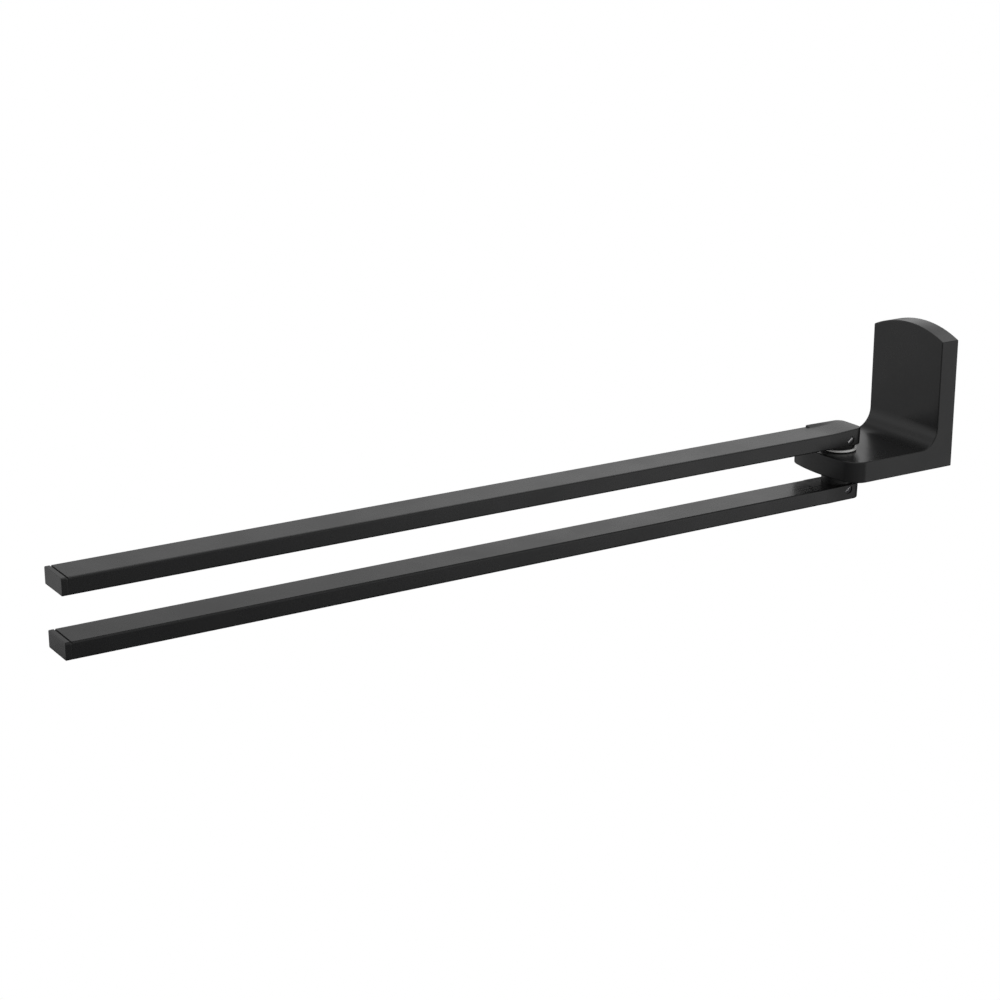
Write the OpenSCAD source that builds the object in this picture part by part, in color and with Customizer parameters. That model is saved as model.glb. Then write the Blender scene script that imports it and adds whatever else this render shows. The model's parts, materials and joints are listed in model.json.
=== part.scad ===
// Swing arm towel bar: an L-shaped wall bracket and two flat arms on one vertical pivot.
// The wall is the plane y = 0 and the arms reach along -Y. The origin is the middle of the
// wall screw pattern, on the wall. Lengths are millimetres and +Z is up.

/* [Wall bracket] */
// Width of the bracket, across the wall
bracket_w = 50; // [46:1:64]
// Height of the bracket at its sides, where the arch begins
plate_side_h = 64; // [62:1:80]
// Rise of the arched top above the side height
arch_rise = 5.5; // [3:0.5:8]
// Thickness of the upright plate
plate_t = 10.5; // [9.5:0.5:14]
// Thickness of the shelf
shelf_t = 10.5; // [8:0.5:13]
// Reach of the shelf from the wall
shelf_reach = 65.5; // [62:0.5:90]
// Radius of the shelf's two outer corners, seen from above
shelf_corner_r = 9; // [4:0.5:20]
// Radius of the shelf's bowed outer end, seen from above
shelf_bow_r = 86; // [60:1:200]
// Radius of the concave fillet between plate and shelf
fillet_r = 10; // [3:0.5:20]

/* [Wall plate] */
// Width of the hidden wall plate
wall_plate_w = 34; // [24:1:42]
// Height of the hidden wall plate
wall_plate_h = 44; // [38:1:48]
// Thickness of the hidden wall plate
wall_plate_t = 5; // [4:0.5:7]
// Height of the wall plate's lower edge above the bracket's underside
wall_plate_up = 13; // [11:0.5:16]
// Undercut of the wall plate's bevelled upper and lower edges
wall_plate_bevel = 2; // [1:0.25:2.5]
// Distance between the two wall screw holes
wall_hole_pitch = 26; // [16:1:30]
// Diameter of the wall screw holes
wall_hole_d = 4.8; // [3.5:0.1:5.5]

/* [Arms] */
// Distance of the pivot axis from the shelf's outer end
pivot_inset = 13.5; // [9.5:0.5:20]
// Distance from the pivot axis to the outer end of an arm
arm_len = 408.5; // [200:0.5:600]
// Width of a bar
bar_w = 18.5; // [14:0.5:24]
// Height of a bar
bar_h = 7.7; // [7:0.1:12]
// Radius of a bar's long edges
bar_edge_r = 0.9; // [0.4:0.1:3]
// Wall thickness of a bar
bar_wall = 1.4; // [1.3:0.1:2.2]
// Length of a hub ahead of the pivot axis
hub_front = 14; // [10:0.1:30]
// Length of a hub behind the pivot axis
hub_back = 7; // [6:0.1:14]
// Radius of a hub's two rear corners
hub_corner_r = 4.5; // [0.5:0.5:6]
// Step from the top of the upper bar up to the top of its hub
upper_raise = 0.9; // [0.2:0.1:3]
// Step from the top of the lower bar up to the top of its hub
lower_raise = 0.1; // [0.1:0.1:3]
// Step from the underside of a bar down to the underside of its hub
hub_drop = 0.1; // [0.05:0.05:2]
// Thickness of the end cap's visible flange
cap_flange_t = 2.9; // [1.5:0.1:8]

/* [Pivot] */
// Diameter of the pivot pin
pin_d = 7; // [5:0.25:8]
// Wall thickness of the bushes
bush_wall = 1; // [0.5:0.1:1.6]
// Diameter of the washers
washer_d = 17.4; // [12:0.1:24]
// Thickness of the washers
washer_t = 0.9; // [0.5:0.1:3]
// Diameter of the raised pads on the shelf
pad_d = 16.4; // [12:0.1:24]
// Height of the raised pads on the shelf
pad_h = 0.5; // [0.3:0.1:3]
// Height of the boss under the upper hub
upper_boss_h = 2.05; // [0.5:0.05:5]
// Height of the boss on top of the lower hub
lower_boss_h = 4; // [0.5:0.05:5]
// Diameter of the hub bosses
boss_d = 15.8; // [11:0.1:22]

/* [Hidden] */
$fn = 72;
// Facets of the wide arcs
wide_fn = 288;

// Overrun of every cut past the face that it opens
cut_over = 1;
// Clearances: a turning fit and a fixed seat, each on the radius, a hidden gap, and a face gap
running_fit = 0.05;
seat_fit = 0.03;
wall_clear = 0.3;
face_play = 0.1;

// The bracket's recess is deeper than the wall plate by this
recess_spare = 0.8;

// The wall screw heads are countersunk by this much on the radius
wall_sink = 2.2;

// Lock screw under the bracket: diameter, length, cone point, socket, and distance from the wall
lock_d = 4;
lock_len = 10;
lock_cone_h = 1.2;
lock_socket = 2;
lock_socket_depth = 3;
lock_y = 3.6;

// Pin ends are chamfered, and a groove near each end takes a set screw's point
pin_chamfer = 0.5;
groove_depth = 0.8;
groove_w = 3;

// Set screws in the hubs: diameter, depth of the head below the hub's side, point, and a straight
// slot that rises towards the wall. They sit nearer to the shelf than the middle of the hub.
set_d = 4;
set_shift = 1.3;
set_recess = 0.6;
set_point_d = 2.5;
set_point_play = 0.15;
set_slot_w = 0.7;
set_slot_depth = 1;
set_slot_turn = 36;

// Roof over the blind bore, and the gap between that roof and the pin's end
hub_roof = 2;
pin_end_gap = 0.4;

// Spigot inside the bar, and the countersunk screw that crosses it
spigot_len = 22;
spigot_setback = 11;
bar_screw_d = 3;
bar_screw_head_d = 5.3;
bar_screw_recess = 0.1;
bar_screw_socket = 2;
bar_screw_socket_depth = 1;

// End cap: seam to the bar, groove across the top beside that seam, edge bevel, plug inside the
// bar and the plug's own wall
cap_seam = 0.1;
cap_groove_w = 0.8;
cap_groove_depth = 0.6;
cap_bevel = 0.5;
cap_plug_len = 12;
cap_plug_wall = 1.3;

// Derived places. Heights here are above the bracket's underside, and reach counts from the wall.
pivot_reach = shelf_reach - pivot_inset;
arch_r = (pow(bracket_w / 2, 2) + pow(arch_rise, 2)) / (2 * arch_rise);
bracket_h = plate_side_h + arch_rise;
mount_h = wall_plate_up + wall_plate_h / 2;
recess_depth = wall_plate_t + recess_spare;
recess_low = wall_plate_up - wall_plate_bevel - wall_clear;

// The lock screw's point ends just under the wall plate's lower bevel, at the point's outer rim
lock_point_r = lock_d / 2 - lock_cone_h;
lock_bevel_share = (wall_plate_t - lock_y - lock_point_r) / wall_plate_t;
lock_top = wall_plate_up + wall_plate_bevel * lock_bevel_share - face_play;

upper_hub_h = hub_drop + bar_h + upper_raise;
lower_hub_h = hub_drop + bar_h + lower_raise;
bore_d = pin_d + 2 * running_fit + 2 * bush_wall;
joint_y = -(pivot_reach + hub_front);
tip_y = -(pivot_reach + arm_len);
bar_len = arm_len - hub_front - cap_flange_t - cap_seam;

upper_washer_z = shelf_t + pad_h;
upper_boss_z = upper_washer_z + washer_t + face_play;
upper_hub_z = upper_boss_z + upper_boss_h;
lower_washer_z = -pad_h - washer_t;
lower_boss_z = lower_washer_z - face_play;
lower_hub_z = lower_boss_z - lower_boss_h - lower_hub_h;

pin_top = upper_hub_z + upper_hub_h - hub_roof - pin_end_gap;
pin_bottom = lower_hub_z + hub_roof + pin_end_gap;
upper_screw_z = upper_hub_z + upper_hub_h / 2 - set_shift;
lower_screw_z = lower_hub_z + lower_hub_h / 2 + set_shift;

// Moves a shape from the bracket's underside frame to the part's own frame
module seated() {
    translate([0, 0, -mount_h])
        children();
}

// Moves a shape to the pivot axis
module at_pivot(z = 0) {
    translate([0, -pivot_reach, z])
        children();
}

// Rectangle centred across, from y = 0 to y = h, with its two corners at y = h rounded
module tongue(w, h, r) {
    translate([-w / 2, 0])
        square([w, h - r]);
    translate([-(w / 2 - r), 0])
        square([w - 2 * r, h]);
    for (side = [-1, 1])
        translate([side * (w / 2 - r), h - r])
            circle(r);
}

// The same shape with a bowed end that reaches y = h in the middle. The bow is an arc of radius
// bow_r, and each corner's circle touches both that arc and the side.
module bowed_tongue(w, h, r, bow_r) {
    bow_y = h - bow_r;
    corner_x = w / 2 - r;
    corner_rise = sqrt(pow(bow_r - r, 2) - pow(corner_x, 2));
    ray_x = corner_x * (bow_r + cut_over) / corner_rise;
    translate([-w / 2, 0])
        square([w, bow_y + corner_rise]);
    intersection() {
        translate([0, bow_y])
            circle(bow_r, $fn = wide_fn);
        polygon([
            [0, bow_y],
            [ray_x, h + cut_over],
            [-ray_x, h + cut_over]
        ]);
    }
    for (side = [-1, 1])
        translate([side * corner_x, bow_y + corner_rise])
            circle(r);
}

// Rectangle centred on the origin with all four corners rounded
module rounded_bar_section(w, h, r) {
    square([w - 2 * r, h], center = true);
    square([w, h - 2 * r], center = true);
    for (sx = [-1, 1])
        for (sy = [-1, 1])
            translate([sx * (w / 2 - r), sy * (h / 2 - r)])
                circle(r);
}

// Extrudes a section drawn in X and Z along -Y, starting at the plane y = y_start
module along_arm(y_start, length) {
    translate([0, y_start, 0])
        rotate([90, 0, 0])
            linear_extrude(length)
                children();
}

// Extrudes a side profile drawn in reach and height across the width w. Reach counts from the wall.
module across(w) {
    translate([w / 2, 0, 0])
        rotate([90, 0, -90])
            linear_extrude(w)
                children();
}

// Side profile of the bracket: upright plate, shelf and the concave fillet between them
module bracket_side() {
    square([plate_t, bracket_h + cut_over]);
    square([shelf_reach + cut_over, shelf_t]);
    difference() {
        square([plate_t + fillet_r, shelf_t + fillet_r]);
        translate([plate_t + fillet_r, shelf_t + fillet_r])
            circle(fillet_r);
    }
}

// Front outline of the bracket with its arched top, drawn wider than the bracket
module bracket_front() {
    wide = bracket_w + 2 * cut_over;
    translate([-wide / 2, -cut_over])
        square([wide, plate_side_h + cut_over]);
    intersection() {
        translate([0, bracket_h - arch_r])
            circle(arch_r, $fn = wide_fn);
        translate([-wide / 2, 0])
            square([wide, bracket_h]);
    }
}

// Recess in the bracket's back for the wall plate. Its top has an undercut lip that hooks over the
// wall plate, and its bottom has room for the bracket to be lifted over before it drops.
module wall_recess_side() {
    high = wall_plate_up + wall_plate_h + wall_clear;
    polygon([
        [-cut_over, recess_low],
        [recess_depth, recess_low],
        [recess_depth, high],
        [wall_plate_t, high],
        [0, high - wall_plate_bevel],
        [-cut_over, high - wall_plate_bevel]
    ]);
}

// The L-shaped bracket with its raised pads, pin bore, wall recess and lock screw hole
module wall_bracket() {
    color("#2b2c2e")
    seated()
    difference() {
        union() {
            intersection() {
                across(bracket_w + 2 * cut_over)
                    bracket_side();
                translate([0, 0, -cut_over])
                    linear_extrude(bracket_h + 2 * cut_over)
                        mirror([0, 1])
                            translate([0, -cut_over])
                                bowed_tongue(bracket_w, shelf_reach + cut_over, shelf_corner_r, shelf_bow_r);
                along_arm(cut_over, shelf_reach + 2 * cut_over)
                    bracket_front();
            }
            at_pivot(-pad_h)
                cylinder(d = pad_d, h = shelf_t + 2 * pad_h);
        }
        across(wall_plate_w + 2 * wall_clear)
            wall_recess_side();
        at_pivot(-pad_h - cut_over)
            cylinder(d = pin_d + 2 * seat_fit, h = shelf_t + 2 * pad_h + 2 * cut_over);
        translate([0, -lock_y, -cut_over])
            cylinder(d = lock_d + 2 * seat_fit, h = recess_low + 2 * cut_over);
    }
}

// The hidden plate that is screwed to the wall, wider at the front than at the wall
module wall_plate() {
    top = wall_plate_up + wall_plate_h;
    hole_mid = wall_plate_up + wall_plate_h / 2;
    color("#8f9296")
    seated()
    difference() {
        across(wall_plate_w)
            polygon([
                [0, wall_plate_up + wall_plate_bevel],
                [wall_plate_t, wall_plate_up],
                [wall_plate_t, top],
                [0, top - wall_plate_bevel]
            ]);
        for (side = [-1, 1])
            translate([0, cut_over, hole_mid + side * wall_hole_pitch / 2])
                rotate([90, 0, 0]) {
                    cylinder(d = wall_hole_d, h = wall_plate_t + 2 * cut_over);
                    translate([0, 0, cut_over + wall_plate_t - wall_sink])
                        cylinder(d1 = wall_hole_d, d2 = wall_hole_d + 2 * wall_sink, h = wall_sink);
                }
    }
}

// A headless screw along +Z: body from z = 0 up to length, with a hexagon socket in its lower end
module grub_screw(d, length, socket, socket_depth) {
    difference() {
        cylinder(d = d, h = length);
        translate([0, 0, -cut_over])
            cylinder(d = socket / cos(30), h = socket_depth + cut_over, $fn = 6);
    }
}

// Cone-point screw from below that presses on the wall plate's lower bevel
module bracket_lock_screw() {
    body_len = lock_len - lock_cone_h;
    color("#3a3b3d")
    seated()
    translate([0, -lock_y, lock_top - lock_len]) {
        grub_screw(lock_d, body_len, lock_socket, lock_socket_depth);
        translate([0, 0, body_len])
            cylinder(d1 = lock_d, d2 = 2 * lock_point_r, h = lock_cone_h);
    }
}

// Fixed pin through the shelf, with chamfered ends and one groove for each hub's set screw
module pivot_pin() {
    r = pin_d / 2;
    color("#b9bcbf")
    seated()
    at_pivot()
    rotate_extrude()
        polygon([
            [0, pin_bottom],
            [r - pin_chamfer, pin_bottom],
            [r, pin_bottom + pin_chamfer],
            [r, lower_screw_z - groove_w / 2],
            [r - groove_depth, lower_screw_z - groove_w / 2],
            [r - groove_depth, lower_screw_z + groove_w / 2],
            [r, lower_screw_z + groove_w / 2],
            [r, upper_screw_z - groove_w / 2],
            [r - groove_depth, upper_screw_z - groove_w / 2],
            [r - groove_depth, upper_screw_z + groove_w / 2],
            [r, upper_screw_z + groove_w / 2],
            [r, pin_top - pin_chamfer],
            [r - pin_chamfer, pin_top],
            [0, pin_top]
        ]);
}

// Flat washer round the pin
module washer(z) {
    seated()
    at_pivot(z)
    difference() {
        cylinder(d = washer_d, h = washer_t);
        translate([0, 0, -cut_over])
            cylinder(d = pin_d + 2 * wall_clear, h = washer_t + 2 * cut_over);
    }
}

// A hub: block of height h, boss towards the shelf, spigot for the bar, blind bore, and screw
// holes. Its own frame has z = 0 at the block's underside. up is 1 where the bore opens
// downwards, as on the upper arm, and -1 where it opens upwards.
module hub(up, h, boss_h) {
    boss_z = up > 0 ? -boss_h : h;
    bore_z = up > 0 ? -boss_h - cut_over : hub_roof;
    spigot_w = bar_w - 2 * bar_wall - 2 * seat_fit;
    spigot_h = bar_h - 2 * bar_wall - 2 * seat_fit;
    difference() {
        union() {
            linear_extrude(h)
                translate([0, -hub_front])
                    tongue(bar_w, hub_front + hub_back, hub_corner_r);
            translate([0, 0, boss_z])
                cylinder(d = boss_d, h = boss_h);
            translate([-spigot_w / 2, -hub_front - spigot_len, hub_drop + bar_h / 2 - spigot_h / 2])
                cube([spigot_w, spigot_len + cut_over, spigot_h]);
        }
        translate([0, 0, bore_z])
            cylinder(d = bore_d + 2 * seat_fit, h = h - hub_roof + boss_h + cut_over);
        translate([0, 0, h / 2 - up * set_shift])
            rotate([0, 90, 0])
                cylinder(d = set_d + 2 * seat_fit, h = bar_w / 2 + cut_over);
        translate([0, -hub_front - spigot_setback, hub_drop])
            cylinder(d = bar_screw_d + 2 * seat_fit, h = bar_h);
    }
}

module upper_hub() {
    color("#2e2f31")
    seated()
    at_pivot(upper_hub_z)
    hub(1, upper_hub_h, upper_boss_h);
}

module lower_hub() {
    color("#2e2f31")
    seated()
    at_pivot(lower_hub_z)
    hub(-1, lower_hub_h, lower_boss_h);
}

// Plain liner between hub and pin, pierced by the set screw
module bush(z, length, screw_z) {
    color("#d8d4c8")
    seated()
    at_pivot()
    difference() {
        translate([0, 0, z])
            cylinder(d = bore_d, h = length);
        translate([0, 0, z - cut_over])
            cylinder(d = pin_d + 2 * running_fit, h = length + 2 * cut_over);
        translate([0, 0, screw_z])
            rotate([0, 90, 0])
                cylinder(d = set_d + 2 * seat_fit, h = bore_d / 2 + cut_over);
    }
}

module upper_bush() {
    start_z = upper_boss_z + face_play;
    bush(start_z, upper_boss_h + upper_hub_h - hub_roof - 2 * face_play, upper_screw_z);
}

module lower_bush() {
    start_z = lower_hub_z + hub_roof + face_play;
    bush(start_z, lower_boss_h + lower_hub_h - hub_roof - 2 * face_play, lower_screw_z);
}

// Slotted set screw from the hub's +X side: its body ends at the pin's surface and its point in the
// groove. The slot crosses the whole head.
module hub_set_screw(z) {
    outer_x = bar_w / 2 - set_recess;
    inner_x = pin_d / 2 + running_fit + set_point_play;
    point_x = pin_d / 2 - groove_depth + set_point_play;
    color("#5c5e62")
    seated()
    at_pivot(z)
    rotate([0, -90, 0]) {
        translate([0, 0, -outer_x])
            difference() {
                cylinder(d = set_d, h = outer_x - inner_x);
                rotate(-set_slot_turn)
                    translate([-set_slot_w / 2, -set_d, -cut_over])
                        cube([set_slot_w, 2 * set_d, set_slot_depth + cut_over]);
            }
        translate([0, 0, -inner_x])
            cylinder(d = set_point_d, h = inner_x - point_x);
    }
}

module upper_set_screw() {
    hub_set_screw(upper_screw_z);
}

module lower_set_screw() {
    hub_set_screw(lower_screw_z);
}

// Rectangular tube with rounded long edges, pierced from below by the countersunk screw
module bar(hub_z) {
    mid_z = hub_z + hub_drop + bar_h / 2;
    low_z = hub_z + hub_drop;
    sink_h = (bar_screw_head_d - bar_screw_d) / 2;
    color("#303134")
    seated()
    difference() {
        translate([0, 0, mid_z])
            along_arm(joint_y, bar_len)
                rounded_bar_section(bar_w, bar_h, bar_edge_r);
        translate([0, 0, mid_z])
            along_arm(joint_y + cut_over, bar_len + 2 * cut_over)
                square([bar_w - 2 * bar_wall, bar_h - 2 * bar_wall], center = true);
        translate([0, joint_y - spigot_setback, low_z - cut_over])
            cylinder(d = bar_screw_d + 2 * seat_fit, h = bar_h / 2);
        translate([0, joint_y - spigot_setback, low_z + bar_screw_recess])
            cylinder(d1 = bar_screw_head_d + 2 * seat_fit, d2 = bar_screw_d + 2 * seat_fit, h = sink_h);
        translate([0, joint_y - spigot_setback, low_z - cut_over])
            cylinder(d = bar_screw_head_d + 2 * seat_fit, h = cut_over + bar_screw_recess);
    }
}

module upper_bar() {
    bar(upper_hub_z);
}

module lower_bar() {
    bar(lower_hub_z);
}

// Countersunk screw from below through the bar's wall into the hub's spigot
module bar_screw(hub_z) {
    low_z = hub_z + hub_drop + bar_screw_recess;
    head_h = (bar_screw_head_d - bar_screw_d) / 2;
    shank_top = hub_z + hub_drop + bar_h - bar_wall - 2 * face_play;
    color("#3a3b3d")
    seated()
    translate([0, joint_y - spigot_setback, low_z])
    difference() {
        union() {
            cylinder(d1 = bar_screw_head_d, d2 = bar_screw_d, h = head_h);
            cylinder(d = bar_screw_d, h = shank_top - low_z);
        }
        translate([0, 0, -cut_over])
            cylinder(d = bar_screw_socket / cos(30), h = bar_screw_socket_depth + cut_over, $fn = 6);
    }
}

module upper_bar_screw() {
    bar_screw(upper_hub_z);
}

module lower_bar_screw() {
    bar_screw(lower_hub_z);
}

// Rectangle from y = 0 to y = length, centred across, with its two corners at y = length bevelled
module bevelled_tip(w, length) {
    polygon([
        [-w / 2, 0],
        [w / 2, 0],
        [w / 2, length - cap_bevel],
        [w / 2 - cap_bevel, length],
        [-w / 2 + cap_bevel, length],
        [-w / 2, length - cap_bevel]
    ]);
}

// End cap: flange outside the bar, bevelled all round its outer face and grooved across its top,
// and a hollow plug inside the bar
module end_cap(hub_z) {
    mid_z = hub_z + hub_drop + bar_h / 2;
    plug_w = bar_w - 2 * bar_wall - 2 * seat_fit;
    plug_h = bar_h - 2 * bar_wall - 2 * seat_fit;
    flange_y = tip_y + cap_flange_t;
    plug_y = flange_y + cap_seam + cap_plug_len;
    color("#36373a")
    seated()
    translate([0, 0, mid_z])
    difference() {
        union() {
            intersection() {
                along_arm(flange_y, cap_flange_t)
                    rounded_bar_section(bar_w, bar_h, bar_edge_r);
                translate([0, flange_y, -bar_h / 2 - cut_over])
                    linear_extrude(bar_h + 2 * cut_over)
                        mirror([0, 1])
                            bevelled_tip(bar_w, cap_flange_t);
                translate([0, flange_y, 0])
                    across(bar_w + 2 * cut_over)
                        rotate(-90)
                            bevelled_tip(bar_h, cap_flange_t);
            }
            along_arm(plug_y, cap_plug_len + cap_seam + cap_bevel)
                square([plug_w, plug_h], center = true);
        }
        along_arm(plug_y + cut_over, cap_plug_len + cut_over)
            square([plug_w - 2 * cap_plug_wall, plug_h - 2 * cap_plug_wall], center = true);
        translate([-bar_w / 2 - cut_over, flange_y - cap_groove_w, bar_h / 2 - cap_groove_depth])
            cube([bar_w + 2 * cut_over, cap_groove_w + cut_over, cap_groove_depth + cut_over]);
    }
}

module upper_end_cap() {
    end_cap(upper_hub_z);
}

module lower_end_cap() {
    end_cap(lower_hub_z);
}

module upper_washer() {
    color("#f2f2ee")
    washer(upper_washer_z);
}

module lower_washer() {
    color("#26272a")
    washer(lower_washer_z);
}

wall_bracket();
wall_plate();
bracket_lock_screw();
pivot_pin();
upper_washer();
upper_hub();
upper_bush();
upper_set_screw();
upper_bar();
upper_bar_screw();
upper_end_cap();
lower_washer();
lower_hub();
lower_bush();
lower_set_screw();
lower_bar();
lower_bar_screw();
lower_end_cap();
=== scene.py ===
# %% [markdown]
# Swing arm towel bar. A cast wall bracket carries a thick shelf, and two flat arms turn on one
# upright pin at the end of that shelf, one arm above it and one below. Every piece is coated
# satin black, but for the white washers, the steel pin and the small screws.
#
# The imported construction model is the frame. Its boxes say where each piece starts and ends, and
# this script works out finished surfaces round them: rounded edges, fillets, seams and sockets.
# Lengths are metres. The wall is the plane y = 0, the arms reach along -Y, and +Z is up.

import json
import math

import bmesh
import bpy
import numpy as np
from mathutils import Matrix, Vector


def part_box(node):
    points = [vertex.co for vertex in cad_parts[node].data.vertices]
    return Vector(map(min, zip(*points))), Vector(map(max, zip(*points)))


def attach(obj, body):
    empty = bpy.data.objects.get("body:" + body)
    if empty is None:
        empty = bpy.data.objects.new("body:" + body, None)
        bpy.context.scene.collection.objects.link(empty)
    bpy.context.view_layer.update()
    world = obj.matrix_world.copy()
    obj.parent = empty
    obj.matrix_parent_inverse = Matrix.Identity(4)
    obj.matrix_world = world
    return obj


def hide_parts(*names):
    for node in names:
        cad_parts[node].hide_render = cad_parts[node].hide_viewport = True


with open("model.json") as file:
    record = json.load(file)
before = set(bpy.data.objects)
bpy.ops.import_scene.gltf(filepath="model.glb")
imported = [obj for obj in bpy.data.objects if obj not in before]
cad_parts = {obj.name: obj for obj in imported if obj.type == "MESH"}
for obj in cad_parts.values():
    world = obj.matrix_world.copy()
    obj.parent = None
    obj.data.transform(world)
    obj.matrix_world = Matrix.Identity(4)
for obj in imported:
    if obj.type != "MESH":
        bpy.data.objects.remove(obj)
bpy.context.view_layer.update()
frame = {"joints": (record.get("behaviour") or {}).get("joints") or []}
MM = 0.001

# %% [markdown]
# The camera stands to the right of the arms, beyond their tips and a little above them. Its place
# was worked out from straight edges of the object, so it is written as two angles, a distance and
# a point that it looks at. A long lens keeps the two arms almost parallel.

# %% Camera
camera_azimuth = math.radians(57.87)
camera_elevation = math.radians(17.38)
camera_distance = 1.00832
camera_target = Vector((0, -0.24922, -0.01807))
focal_length, film_width = 81.02, 36
away = Vector((
    math.sin(camera_azimuth) * math.cos(camera_elevation),
    -math.cos(camera_azimuth) * math.cos(camera_elevation),
    math.sin(camera_elevation),
))
lens = bpy.data.cameras.new("camera")
lens.lens = focal_length
lens.sensor_width = film_width
camera = bpy.data.objects.new("camera", lens)
camera.location = camera_target + away * camera_distance
camera.rotation_mode = "QUATERNION"
camera.rotation_quaternion = (-away).to_track_quat("-Z", "Y")
bpy.context.scene.collection.objects.link(camera)
bpy.context.scene.camera = camera
bpy.context.scene.view_settings.view_transform = "Standard"
print("camera at", [round(c, 3) for c in camera.location])

# %% [markdown]
# Node trees are built by two short helpers: one adds a node with its settings, the other joins
# two sockets. Constants that hold for a whole surface go straight on the shader's own socket. The
# sockets of a Mix node for colours share their names with hidden ones, so they go by number.

# %% Node helpers
MIX_SHARE, MIX_FIRST, MIX_SECOND, MIX_RESULT = 0, 6, 7, 2


def add(tree, kind, settings=None, inputs=None):
    """A new node of that kind, with attributes from settings and socket values from inputs."""
    node = tree.nodes.new(kind)
    for key, value in (settings or {}).items():
        setattr(node, key, value)
    for key, value in (inputs or {}).items():
        node.inputs[key].default_value = value
    return node


def join(tree, node, output, other, socket):
    """Links one node's output to another node's input, each by its name or number."""
    tree.links.new(node.outputs[output], other.inputs[socket])


# %% [markdown]
# Black pieces are shaped by what they mirror. Here that is a studio written as two rings of grey,
# one below the horizon and one above it, each a list of (compass direction, brightness). Upright
# faces mirror the lower ring: its bright stretch near 36 degrees lights the long side of the arms,
# and the dark one near 20 lets them darken towards their tips. Tops mirror the upper ring, which
# dims towards the zenith. Near the nadir all is dark, so every rounded lower edge ends in a dark
# line. Light that isn't mirrored but only brightens matt surfaces comes from a plain ramp instead,
# brightest to the right of the arms. The camera itself sees plain white, as it would in front of a
# lit backdrop.

# %% World
low_ring = [
    (-180, 0.17), (-165, 0.56), (-150, 0.37), (-137, 0.61), (-120, 0.38), (-90, 0.14), (-60, 0.20),
    (-30, 0.30), (-10, 0.33), (5, 0.45), (15, 0.24), (22, 0.14), (29, 0.71), (36, 1.08), (43, 0.82),
    (52, 0.48), (65, 0.28), (80, 0.04), (110, 0.0), (180, 0.17),
]
high_ring = [
    (-180, 0.40), (-160, 1.05), (-135, 0.64), (-100, 0.40), (-50, 0.50), (0, 0.50), (60, 0.60),
    (100, 2.20), (119, 2.10), (127, 0.90), (133, 0.96), (139, 0.75), (145, 0.81), (152, 0.62),
    (160, 0.60), (168, 0.33), (180, 0.40),
]
horizon_stops = [(-0.08, 0.0), (0.08, 1.0)]
height_stops = [(-0.62, 0.0), (-0.42, 1.0), (0.30, 1.0), (0.50, 0.55), (1.0, 0.45)]
light_stops = [(-0.70, 0.15), (0.10, 0.80)]
zenith = (0, 0, 1)
lit_side = (0.8, 0.5, 0.3)
world = bpy.data.worlds.new("studio")
bpy.context.scene.world = world
world.use_nodes = True
tree = world.node_tree
tree.nodes.clear()
white = (1, 1, 1, 1)


def ramp(tree, node, output, stops, low, high):
    """Grey of a linear ramp with (value, brightness) stops, where values run from low to high and
    the node's output runs from 0 to 1."""
    grey = add(tree, "ShaderNodeValToRGB")
    while len(grey.color_ramp.elements) < len(stops):
        grey.color_ramp.elements.new(0.5)
    for element, (value, light) in zip(grey.color_ramp.elements, stops):
        element.position = (value - low) / (high - low)
        element.color = (light, light, light, 1)
    join(tree, node, output, grey, "Fac")
    return grey


def around(tree, direction, stops):
    """Grey by compass direction: degrees from +X towards +Y, from -180 to 180."""
    spin = add(tree, "ShaderNodeTexGradient", {"gradient_type": "RADIAL"})
    join(tree, direction, "Generated", spin, "Vector")
    return ramp(tree, spin, "Fac", stops, -180, 180)


def along(tree, direction, axis, stops):
    """Grey by the dot product of the direction with an axis."""
    dot = add(tree, "ShaderNodeVectorMath", {"operation": "DOT_PRODUCT"})
    join(tree, direction, "Generated", dot, 0)
    dot.inputs[1].default_value = axis
    share = add(tree, "ShaderNodeMapRange", None, {"From Min": -1.0, "From Max": 1.0})
    join(tree, dot, "Value", share, "Value")
    return ramp(tree, share, "Result", stops, -1, 1)


ray = add(tree, "ShaderNodeLightPath")
direction = add(tree, "ShaderNodeTexCoord")
rings = add(tree, "ShaderNodeMix", {"data_type": "RGBA"})
join(tree, along(tree, direction, zenith, horizon_stops), "Color", rings, MIX_SHARE)
join(tree, around(tree, direction, low_ring), "Color", rings, MIX_FIRST)
join(tree, around(tree, direction, high_ring), "Color", rings, MIX_SECOND)
room = add(tree, "ShaderNodeMix", {"data_type": "RGBA", "blend_type": "MULTIPLY"}, {MIX_SHARE: 1.0})
join(tree, rings, MIX_RESULT, room, MIX_FIRST)
join(tree, along(tree, direction, zenith, height_stops), "Color", room, MIX_SECOND)
mirrored = add(tree, "ShaderNodeBackground", None, {"Strength": 1.0})
join(tree, room, MIX_RESULT, mirrored, "Color")
lighting = add(tree, "ShaderNodeBackground", None, {"Strength": 1.0})
join(tree, along(tree, direction, lit_side, light_stops), "Color", lighting, "Color")
backdrop = add(tree, "ShaderNodeBackground", None, {"Color": white, "Strength": 1.0})
either = add(tree, "ShaderNodeMath", {"operation": "MAXIMUM"})
join(tree, ray, "Is Glossy Ray", either, 0)
join(tree, ray, "Is Transmission Ray", either, 1)
shown = add(tree, "ShaderNodeMixShader")
join(tree, either, "Value", shown, "Fac")
join(tree, lighting, "Background", shown, 1)
join(tree, mirrored, "Background", shown, 2)
final = add(tree, "ShaderNodeMixShader")
join(tree, ray, "Is Camera Ray", final, "Fac")
join(tree, shown, "Shader", final, 1)
join(tree, backdrop, "Background", final, 2)
surface = add(tree, "ShaderNodeOutputWorld")
join(tree, final, "Shader", surface, "Surface")
print("studio rings:", len(low_ring), "stops below the horizon and", len(high_ring), "above")

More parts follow.
